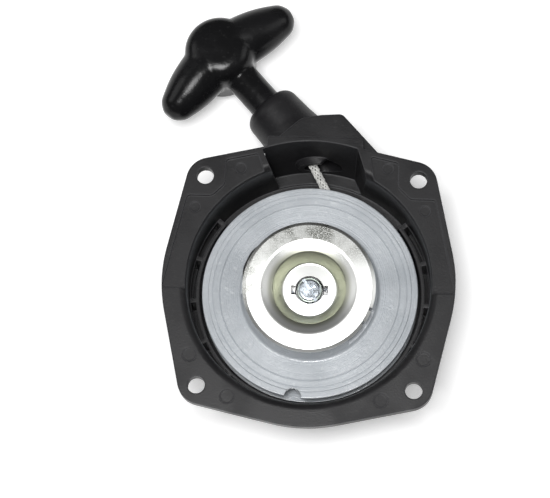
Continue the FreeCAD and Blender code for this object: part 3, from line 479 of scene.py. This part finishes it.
@dataclass(frozen=True)
class PressedZinc:
    """Bright zinc on a pressed plate: clean below; speckled tarnish above and to the left, laid there as
    painted dark reflection; olive on the dish's wall.
    """

    name: str
    bright: Colour = (0.86, 0.87, 0.85)
    # Dark speckle colour: tarnish, and painted dark reflection on the plate's top and left.
    tarnish_and_dark_reflection: Colour = (0.26, 0.27, 0.23)
    olive: Colour = (0.33, 0.34, 0.25)
    roughness: float = 0.34
    cone: float = 0.04
    dish: tuple[float, float, float, float] = (0.0088, 0.0096, 0.0128, 0.0150)

    def make(self) -> bpy.types.Material:
        """Builds the material."""
        shader = Shader(self.name)
        rings = shader.effect(RINGS, Density=2600.0)
        patches = shader.effect(PATCHES, Scale=150.0, Specks=1.0)
        scratches = shader.effect(SCRATCHES, Scale=120.0, Amount=0.5)
        place = shader.coordinates()
        split = shader.add("ShaderNodeSeparateXYZ")
        shader.feed(place, split.inputs[0])
        radius = rings["Radius"]
        annulus = shader.spread(radius, self.dish[2], self.dish[3])
        # Gradients towards the top and the left gather the dark speckle there: painted dark reflection over
        # speckled tarnish.
        upper_dark_reflection = shader.spread(split.outputs[1], 0.004, 0.021)
        left = shader.maths("MULTIPLY", shader.spread(split.outputs[0], -0.012, -0.022), 0.7)
        share = shader.maths("MULTIPLY", annulus, shader.maths("MAXIMUM", upper_dark_reflection, left))
        share = shader.maths("MULTIPLY", share, shader.spread(patches["Patch"], 0.0, 1.0, 1.0, 0.35))
        fine = shader.spread(shader.noise(place, 2400.0, 2.0, 0.5), 0.36, 0.56)
        tarnish_and_reflection_spots = shader.maths("MULTIPLY", share, fine)
        beyond_floor = shader.spread(radius, self.dish[0], self.dish[1])
        wall = shader.maths("SUBTRACT", beyond_floor, annulus, clamp=True)
        colour = shader.mix(shader.maths("MULTIPLY", tarnish_and_reflection_spots, 0.85), self.bright, self.tarnish_and_dark_reflection)
        colour = shader.mix(shader.maths("MULTIPLY", wall, 0.8), colour, self.olive)
        rough = shader.maths("ADD", self.roughness, shader.maths("MULTIPLY", scratches["Scratch"], 0.08))
        rough = shader.maths("SUBTRACT", rough, shader.maths("MULTIPLY", tarnish_and_reflection_spots, 0.08))
        normal = shader.bump(shader.maths("MULTIPLY", radius, -self.cone), 1.0)
        normal = shader.bump(rings["Height"], 0.00002, 0.6, normal)
        shader.plain(Metallic=1.0)
        return shader.finish(colour, rough, normal)


@dataclass(frozen=True)
class Braid:
    """White braided nylon with dark fleck yarns, charted round and along the rope."""

    name: str
    colour: Colour = (0.80, 0.80, 0.77)
    # Darker grey for the hollows between the yarns: painted shade.
    shade: Colour = (0.40, 0.40, 0.40)
    fleck: Colour = (0.035, 0.035, 0.04)

    def make(self) -> bpy.types.Material:
        """Builds the material."""
        shader = Shader(self.name)
        braid = shader.effect(BRAID, Carriers=6.0, Crossings=1.0)
        fibres = shader.effect(GRAIN, Scale=5200.0, Fineness=0.6)
        # Low parts of the braid, the hollows between the yarns, take the darker shade colour: painted shade.
        colour = shader.mix(shader.spread(braid["Height"], 0.05, 0.75), self.shade, self.colour)
        colour = shader.mix(shader.maths("MULTIPLY", braid["Fleck"], 0.9), colour, self.fleck)
        normal = shader.bump(fibres["Height"], 0.00004, 0.5)
        normal = shader.bump(braid["Height"], 0.00035, 1.0, normal)
        shader.plain(Sheen_Weight=0.3, Sheen_Roughness=0.5)
        return shader.finish(colour, 0.7, normal)


@dataclass(frozen=True)
class Yarn:
    """One yarn of the braid, with fine fibres."""

    name: str
    colour: Colour
    shade: Colour

    def make(self) -> bpy.types.Material:
        """Builds the material."""
        shader = Shader(self.name)
        patches = shader.effect(PATCHES, Scale=420.0, Specks=1.0)
        fibres = shader.effect(GRAIN, Scale=6000.0, Fineness=0.7)
        colour = shader.mix(patches["Patch"], self.colour, self.shade)
        shader.plain(Sheen_Weight=0.35, Sheen_Roughness=0.5)
        return shader.finish(colour, 0.62, shader.bump(fibres["Height"], 0.00005, 0.8))


# ---------------------------------------------------------------- pieces


def dress(node: bpy.types.Object, material: bpy.types.Material) -> None:
    """Gives a CAD node or a piece one material.

    Args:
        node: the node or piece.
        material: the material for all its slots.
    """
    if not node.material_slots:
        node.data.materials.append(material)
    for slot in node.material_slots:
        slot.material = material
    LOG.info("%s wears %s", node.name, material.name)


def new_object(name: str, mesh: bpy.types.ID) -> bpy.types.Object:
    """Links a new object to the scene.

    Args:
        name: the object's name.
        mesh: the mesh, curve, light or camera that it holds.

    Returns:
        The object.
    """
    made = bpy.data.objects.new(name, mesh)
    bpy.context.scene.collection.objects.link(made)
    return made


def spun(made: bmesh.types.BMesh, outline: Sequence[tuple[float, float]], place: Matrix,
         steps: int = 64) -> None:
    """Adds a solid of revolution to a bmesh.

    Args:
        made: the bmesh that takes it.
        outline: radius and height of each point, from one end of the axis to the other.
        place: where the solid's own Z axis and origin go.
        steps: faces round the axis.
    """
    part = bmesh.new()
    points = [part.verts.new((radius, 0.0, height)) for radius, height in outline]
    edges = [part.edges.new(pair) for pair in zip(points, points[1:])]
    bmesh.ops.spin(part, geom=points + edges, cent=(0, 0, 0), axis=(0, 0, 1), angle=2 * math.pi,
                   steps=steps, use_merge=True, use_duplicate=False)
    bmesh.ops.remove_doubles(part, verts=part.verts, dist=1e-7)
    bmesh.ops.recalc_face_normals(part, faces=part.faces)
    bmesh.ops.transform(part, matrix=place, verts=part.verts)
    keep = bpy.data.meshes.new("part")
    part.to_mesh(keep)
    made.from_mesh(keep)
    part.free()
    bpy.data.meshes.remove(keep)


def lathe_outline(corners: Sequence[tuple[float, ...]], steps: int = 7) -> list[tuple[float, float]]:
    """Rounds the corners of a profile.

    Args:
        corners: radius and height of each corner, and how far from it the rounding starts where it has one.
        steps: points on each rounding.

    Returns:
        Radius and height of each point.
    """
    result: list[tuple[float, float]] = []
    for i, corner in enumerate(corners):
        here = Vector(corner[:2])
        if len(corner) < 3:
            result.append(tuple(here))
            continue
        start = here + (Vector(corners[i - 1][:2]) - here).normalized() * corner[2]
        end = here + (Vector(corners[i + 1][:2]) - here).normalized() * corner[2]
        for k in range(steps):
            share = k / (steps - 1)
            result.append(tuple(start.lerp(here, share).lerp(here.lerp(end, share), share)))
    return result


@dataclass
class Tower:
    """The tower's axis, along which the rope and the handle's stem run."""

    angle: float = math.radians(132.5)
    offset: float = 0.0326
    depth: float = 0.0188

    def point(self, along: float, across: float = 0.0, lift: float = 0.0) -> Vector:
        """Point at a distance along the axis, to its right and above it."""
        turn = self.angle
        side = self.offset + across
        return Vector((along * math.cos(turn) + side * math.sin(turn),
                       along * math.sin(turn) - side * math.cos(turn), lift - self.depth))

    def frame(self, along: float, across: float = 0.0, lean: float = 0.0) -> Matrix:
        """Placement whose Z axis runs along the tower's axis, turned clockwise by lean."""
        turn = Matrix.Rotation(self.angle - lean, 4, "Z") @ Matrix.Rotation(math.pi / 2, 4, "Y")
        return Matrix.Translation(self.point(along, across)) @ turn


@dataclass
class Handle:
    """Moulded T handle with a barrel across the stem and two tapering wings, blended into each other."""

    tower: Tower
    stem_start: float = 0.0517
    stem_radius: float = 0.00575
    centre: float = 0.0862
    barrel_radius: float = 0.0122
    barrel_top: float = 0.0095
    barrel_low: float = 0.0306
    barrel_crown: float = 0.0004
    wing_root: float = 0.006
    wing_reach: float = 0.0282
    wing_root_radius: float = 0.0090
    wing_droop: float = math.radians(12.0)
    wing_shift: float = 0.0008
    cap_radius: float = 0.0096
    cap_depth: float = 0.0016
    voxel: float = 0.00042
    softening: int = 14
    name: str = "handle_moulding"

    def build(self) -> bpy.types.Object:
        """Builds the grip from turned solids merged by a fine remesh and smoothed.

        Returns:
            The grip's object.
        """
        made = bmesh.new()
        spun(made, lathe_outline([(0.0, 0.0), (self.stem_radius, 0.0, 0.0008),
                                  (self.stem_radius + 0.00015, self.centre - self.stem_start),
                                  (0.0, self.centre - self.stem_start)]), self.tower.frame(self.stem_start))
        low = self.tower.depth - self.barrel_low
        high = self.tower.depth - self.barrel_top
        upright = Matrix.Translation(self.tower.point(self.centre))
        radius = self.barrel_radius
        seat = low + self.cap_depth
        barrel = [(0.0, seat), (self.cap_radius, seat), (self.cap_radius, low), (radius, low, 0.0008),
                  (radius + 0.0001, high - self.barrel_crown, 0.0070), (0.0, high)]
        spun(made, lathe_outline(barrel, 12), upright)
        length = (self.wing_reach - self.wing_root) / math.cos(self.wing_droop)
        root = self.wing_root_radius
        lobe = [(0.0, 0.0), (root, 0.0), (root, 0.004, 0.003), (0.0081, length - 0.011, 0.004),
                (0.0054, length - 0.0024, 0.0018), (0.0022, length, 0.001), (0.0, length)]
        for side in (1.0, -1.0):
            lean = math.radians(90.0) + self.wing_droop
            place = self.tower.frame(self.centre - self.wing_shift, side * self.wing_root, lean * side)
            spun(made, lathe_outline(lobe), place)
        mesh = bpy.data.meshes.new(self.name)
        made.to_mesh(mesh)
        made.free()
        piece = new_object(self.name, mesh)
        remesh = piece.modifiers.new("merge", "REMESH")
        remesh.mode = "VOXEL"
        remesh.voxel_size = self.voxel
        smooth = piece.modifiers.new("blend", "SMOOTH")
        smooth.factor = 0.5
        smooth.iterations = self.softening
        settled = bpy.data.meshes.new_from_object(piece.evaluated_get(bpy.context.evaluated_depsgraph_get()))
        piece.modifiers.clear()
        piece.data = settled
        settled.shade_smooth()
        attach(piece, Body.HANDLE.value)
        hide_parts("handle_grip")
        return piece

    def make(self, black: bpy.types.Material) -> None:
        """Builds the grip and dresses it in black."""
        dress(self.build(), black)


@dataclass
class Rope:
    """Braided rope: yarns where it shows beside the reel, a charted tube where it pays out of the tower."""

    tower: Tower
    radius: float = 0.0015
    carriers: int = 6
    pitch: float = 0.012
    travel: float = 0.62
    stretch: tuple[float, float] = (0.0440, 0.0508)
    inner_end: float = 0.0818
    bend: float = 0.0425
    guide: tuple[float, float] = (0.0472, 0.0508)
    outer_turn: float = 0.0212
    yarn_radius: float = 0.00031
    yarn_inset: float = 0.00040
    weave: float = 0.00013
    core_radius: float = 0.00088
    step: float = 0.0003

    def lead_line(self) -> list[Vector]:
        """Points of the lead's centre line, read from its smooth curve.

        Returns:
            Points about half a millimetre apart.
        """
        bend = self.tower.point(self.bend)
        leave = self.leave_point()
        stops = [leave, leave.lerp(bend, 0.45), leave.lerp(bend, 0.88), bend]
        stops += [self.tower.point(along) for along in self.guide]
        curve = bpy.data.curves.new("lead_route", "CURVE")
        curve.dimensions = "3D"
        spline = curve.splines.new("NURBS")
        spline.points.add(len(stops) - 1)
        for point, stop in zip(spline.points, stops):
            point.co = (*stop, 1.0)
        spline.order_u = 3
        spline.use_endpoint_u = True
        spline.resolution_u = 24
        holder = new_object("lead_route", curve)
        mesh = bpy.data.meshes.new_from_object(holder.evaluated_get(bpy.context.evaluated_depsgraph_get()))
        points = [v.co.copy() for v in mesh.vertices]
        bpy.data.objects.remove(holder)
        bpy.data.meshes.remove(mesh)
        return points

    def leave_point(self) -> Vector:
        """Point where the lead leaves the reel, on the tangent from the outermost turn to the rope guide."""
        bend = self.tower.point(self.bend)
        reach = math.hypot(bend.x, bend.y)
        angle = math.atan2(bend.y, bend.x) - math.acos(self.outer_turn / reach)
        start = Vector((self.outer_turn * math.cos(angle), self.outer_turn * math.sin(angle), bend.z))
        share_on_reel = 0.09
        return start.lerp(bend, share_on_reel)

    def yarns(self, line: Sequence[Vector]) -> bpy.types.Curve:
        """Curve with one spline for each yarn, weaving over and under along a line.

        Args:
            line: points of the rope's centre line.

        Returns:
            The curve, with a round section.
        """
        curve = bpy.data.curves.new("yarns", "CURVE")
        curve.dimensions = "3D"
        curve.bevel_depth = self.yarn_radius
        curve.bevel_resolution = 2
        curve.use_fill_caps = True
        distances = [0.0]
        for first, second in zip(line, line[1:]):
            distances.append(distances[-1] + (second - first).length)
        for way in (1, -1):
            for k in range(self.carriers):
                spline = curve.splines.new("POLY")
                spline.points.add(len(line) - 1)
                for i, here in enumerate(line):
                    ahead = (line[min(i + 1, len(line) - 1)] - line[max(i - 1, 0)]).normalized()
                    side = ahead.cross(Vector((0, 0, 1))).normalized()
                    turns = distances[i] / self.pitch
                    angle = 2 * math.pi * (k / self.carriers + way * turns)
                    weave = math.cos(2 * math.pi * self.carriers * turns + math.pi * k)
                    reach = self.radius - self.yarn_inset + self.weave * weave * way
                    offset = side * math.cos(angle) * reach + Vector((0, 0, 1)) * math.sin(angle) * reach
                    spline.points[i].co = (*(here + offset), 1.0)
        return curve

    def core(self, line: Sequence[Vector]) -> bpy.types.Curve:
        """Curve with one thick spline, the dark heart that shows between the yarns.

        Args:
            line: points of the rope's centre line.

        Returns:
            The curve, with a round section.
        """
        curve = bpy.data.curves.new("core", "CURVE")
        curve.dimensions = "3D"
        curve.bevel_depth = self.core_radius
        curve.bevel_resolution = 4
        curve.use_fill_caps = True
        spline = curve.splines.new("POLY")
        spline.points.add(len(line) - 1)
        for point, here in zip(spline.points, line):
            point.co = (*here, 1.0)
        return curve

    def build_lead(self, white: bpy.types.Material, dark: bpy.types.Material) -> None:
        """Builds the lead as two pieces: the woven yarns and the dark core between them.

        Args:
            white: the yarns' material.
            dark: the core's material.
        """
        line = self.finer(self.lead_line())
        pieces = (("rope_yarns", self.yarns(line), white), ("rope_core", self.core(line[::2]), dark))
        for name, curve, material in pieces:
            holder = new_object("yarn_source", curve)
            graph = bpy.context.evaluated_depsgraph_get()
            mesh = bpy.data.meshes.new_from_object(holder.evaluated_get(graph))
            bpy.data.objects.remove(holder)
            piece = new_object(name, mesh)
            mesh.shade_smooth()
            mesh.materials.clear()
            dress(piece, material)
            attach(piece, Body.HOUSING.value)
            if name == "rope_yarns":
                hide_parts("rope_lead")

    def finer(self, line: Sequence[Vector]) -> list[Vector]:
        """Points at an even step along a line.

        Args:
            line: points of the line.

        Returns:
            Its points, one step apart.
        """
        result = [line[0]]
        carry = 0.0
        for first, second in zip(line, line[1:]):
            length = (second - first).length
            while carry + self.step <= length:
                carry += self.step
                result.append(first.lerp(second, carry / length))
            carry -= length
        return result

    def rest_place(self, share: float) -> float:
        """Place at rest, along the stretching run, of a point that lies at a share of the pulled run.

        Args:
            share: share of the run's length when the handle is out.

        Returns:
            The share of the run's length at rest.
        """
        rest = self.stretch[1] - self.stretch[0]
        whole = rest + self.travel
        low, high = 0.0, 1.0
        for _ in range(40):
            middle = (low + high) / 2
            eased = middle * middle * (3 - 2 * middle)
            if middle * rest + eased * self.travel < share * whole:
                low = middle
            else:
                high = middle
        return (low + high) / 2

    def build_pulled(self, braid: bpy.types.Material) -> None:
        """Builds the tube that pays out of the tower as the handle is pulled.

        Args:
            braid: its material, charted round and along the tube.
        """
        start, end = self.stretch
        rest = end - start
        pulled = rest + self.travel
        steps = 1000
        places = [(start + self.rest_place(i / steps) * rest, pulled * i / steps) for i in range(steps + 1)]
        inner = self.inner_end - end
        tail_step = 0.0008
        tail = int(inner / tail_step)
        places += [(end + inner * i / tail, pulled + inner * i / tail) for i in range(1, tail + 1)]
        made = bmesh.new()
        chart = made.loops.layers.uv.new("braid")
        segments = 16
        slack = 0.0001
        ring = bmesh.ops.create_circle(made, cap_ends=False, segments=segments, radius=self.radius - slack,
                                       matrix=self.tower.frame(places[0][0]))["verts"]
        spot = {vert: (i / segments, places[0][1]) for i, vert in enumerate(ring)}
        edges = [edge for edge in made.edges]
        ahead = (self.tower.point(1.0) - self.tower.point(0.0)).normalized()
        for (before, _), (place, pulled_at) in zip(places, places[1:]):
            grown = bmesh.ops.extrude_edge_only(made, edges=edges)["geom"]
            verts = [item for item in grown if isinstance(item, bmesh.types.BMVert)]
            edges = [item for item in grown if isinstance(item, bmesh.types.BMEdge)]
            faces = [item for item in grown if isinstance(item, bmesh.types.BMFace)]
            sources = {}
            for face in faces:
                for edge in face.edges:
                    first, second = edge.verts
                    if (first in spot) != (second in spot):
                        known, fresh = (first, second) if first in spot else (second, first)
                        sources[fresh] = known
            bmesh.ops.translate(made, vec=ahead * (place - before), verts=verts)
            spot.update({fresh: (spot[known][0], pulled_at) for fresh, known in sources.items()})
        for face in made.faces:
            shares = [spot[loop.vert][0] for loop in face.loops]
            for loop in face.loops:
                share, along = spot[loop.vert]
                if max(shares) - share > 0.5:
                    share += 1.0
                loop[chart].uv = (share, along * self.carriers / self.pitch)
        bmesh.ops.recalc_face_normals(made, faces=made.faces)
        mesh = bpy.data.meshes.new("rope_run")
        made.to_mesh(mesh)
        made.free()
        mesh.shade_smooth()
        piece = new_object("rope_run", mesh)
        dress(piece, braid)
        self.tower.point(start)
        self.tower.point(end)
        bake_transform(piece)
        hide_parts("handle_rope")


@dataclass
class Studio:
    """Pale floor, soft lights and the camera."""

    floor_height: float
    camera_place: tuple[float, float, float] = (0.03553, -0.19936, 0.82567)
    camera_turn: tuple[float, float, float] = (14.3747, 2.7348, 2.0565)
    lens: float = 166.775
    surroundings: float = 0.12
    floor_colour: Colour = (0.93, 0.93, 0.93)
    floor_roughness: float = 0.9
    floor_glow: float = 0.3
    lamps: list[tuple] = field(default_factory=lambda: [
        ("key", (-0.05, -0.12, 0.85), (0.0, 0.01, -0.02), 0.30, 7.0),
        ("right", (0.55, 0.15, 0.45), (0.0, 0.0, -0.02), 0.35, 0.6),
        ("left", (-0.60, 0.20, 0.45), (0.0, 0.0, -0.02), 0.35, 0.6),
    ])

    def camera(self) -> None:
        """Places the camera high over the open side."""
        data = bpy.data.cameras.new("camera")
        data.lens = self.lens
        data.sensor_width = 36.0
        data.clip_start = 0.01
        made = new_object("camera", data)
        made.location = self.camera_place
        made.rotation_euler = [math.radians(angle) for angle in self.camera_turn]
        bpy.context.scene.camera = made

    def light(self) -> None:
        """Places the soft lights and the even surroundings."""
        for name, place, aim, width, power in self.lamps:
            data = bpy.data.lights.new(name, "AREA")
            data.shape = "SQUARE"
            data.size = width
            data.energy = power
            made = new_object(name, data)
            made.location = place
            made.rotation_euler = (Vector(aim) - Vector(place)).to_track_quat("-Z", "Y").to_euler()
        world = bpy.data.worlds.new("surroundings")
        world.use_nodes = True
        world.node_tree.nodes["Background"].inputs["Color"].default_value = (1.0, 1.0, 1.0, 1.0)
        world.node_tree.nodes["Background"].inputs["Strength"].default_value = self.surroundings
        bpy.context.scene.world = world

    def floor(self) -> None:
        """Lays the plain pale floor under the dome's flat front."""
        made = bmesh.new()
        bmesh.ops.create_grid(made, x_segments=1, y_segments=1, size=6.0,
                              matrix=Matrix.Translation((0, 0, self.floor_height)))
        mesh = bpy.data.meshes.new("floor")
        made.to_mesh(mesh)
        made.free()
        piece = new_object("floor", mesh)
        shader = Shader("pale floor")
        shader.plain(Emission_Color=(1.0, 1.0, 1.0, 1.0), Emission_Strength=self.floor_glow)
        dress(piece, shader.finish((*self.floor_colour, 1.0), self.floor_roughness))
        piece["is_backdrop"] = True

    def make(self) -> None:
        """Builds all of it."""
        self.camera()
        self.light()
        self.floor()
        bpy.context.scene.view_settings.view_transform = "Standard"


@dataclass
class Starter:
    """The whole starter's finishes and pieces."""

    nodes: dict[str, bpy.types.Object]
    tower: Tower = field(default_factory=Tower)

    def dress_frame(self) -> None:
        """Gives every carried-over node its finish."""
        black = MouldedBlack("black moulded nylon").make()
        smooth = MouldedBlack("black acetal", roughness=0.3, grain=900.0, depth=0.00002).make()
        nylon = MilkyNylon("natural nylon").make()
        plate = PressedZinc("bright zinc plate").make()
        screw = Zinc("zinc screw", colour=(0.40, 0.44, 0.48), bloom=(0.58, 0.62, 0.66), roughness=0.30,
                     patch_scale=300.0).make()
        steel = Zinc("plain steel", colour=(0.42, 0.42, 0.42), bloom=(0.55, 0.55, 0.54),
                     roughness=0.33).make()
        spring = Zinc("blued spring steel", colour=(0.14, 0.15, 0.17), bloom=(0.22, 0.23, 0.25),
                      roughness=0.35).make()
        brass = Zinc("turned brass", colour=(0.72, 0.52, 0.24), bloom=(0.80, 0.62, 0.34),
                     roughness=0.28).make()
        yarn = Yarn("wound rope yarn", (0.80, 0.80, 0.77), (0.55, 0.55, 0.53)).make()
        finishes = {
            "housing": black, "handle_cap": black, "pawl": smooth, "reel": nylon, "friction_plate": plate,
            "centre_screw": screw, "spring_case": screw, "centre_bush": steel, "rope_guide": steel,
            "pawl_pin": steel, "knot_washer": steel, "recoil_spring": spring, "pawl_spring": spring,
            "friction_spring": spring, "thread_insert": brass, "wound_rope": yarn, "reel_knot": yarn,
            "handle_knot": yarn,
        }
        for name, material in finishes.items():
            dress(self.nodes[name], material)

    def make(self) -> None:
        """Dresses the frame and builds the handle and the rope."""
        self.dress_frame()
        satin = MouldedBlack("satin black handle", roughness=0.25, grain=520.0, depth=0.00005, shine=0.20,
                             colour=(0.006, 0.006, 0.0065), worn=(0.011, 0.011, 0.012))
        Handle(self.tower).make(satin.make())
        rope = Rope(self.tower)
        rope.build_lead(Yarn("white yarn", (0.74, 0.74, 0.71), (0.56, 0.56, 0.54)).make(),
                        Yarn("dark core yarn", (0.015, 0.015, 0.016), (0.03, 0.03, 0.03)).make())
        rope.build_pulled(Braid("charted braid").make())


def main() -> None:
    """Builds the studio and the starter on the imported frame."""
    logging.basicConfig(level=logging.INFO, format="%(name)s: %(message)s")
    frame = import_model()
    cad_box = [list(corner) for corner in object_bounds()]
    Studio(floor_height=cad_box[0][2]).make()
    Starter(frame["nodes"]).make()


if __name__ == "__main__":
    main()
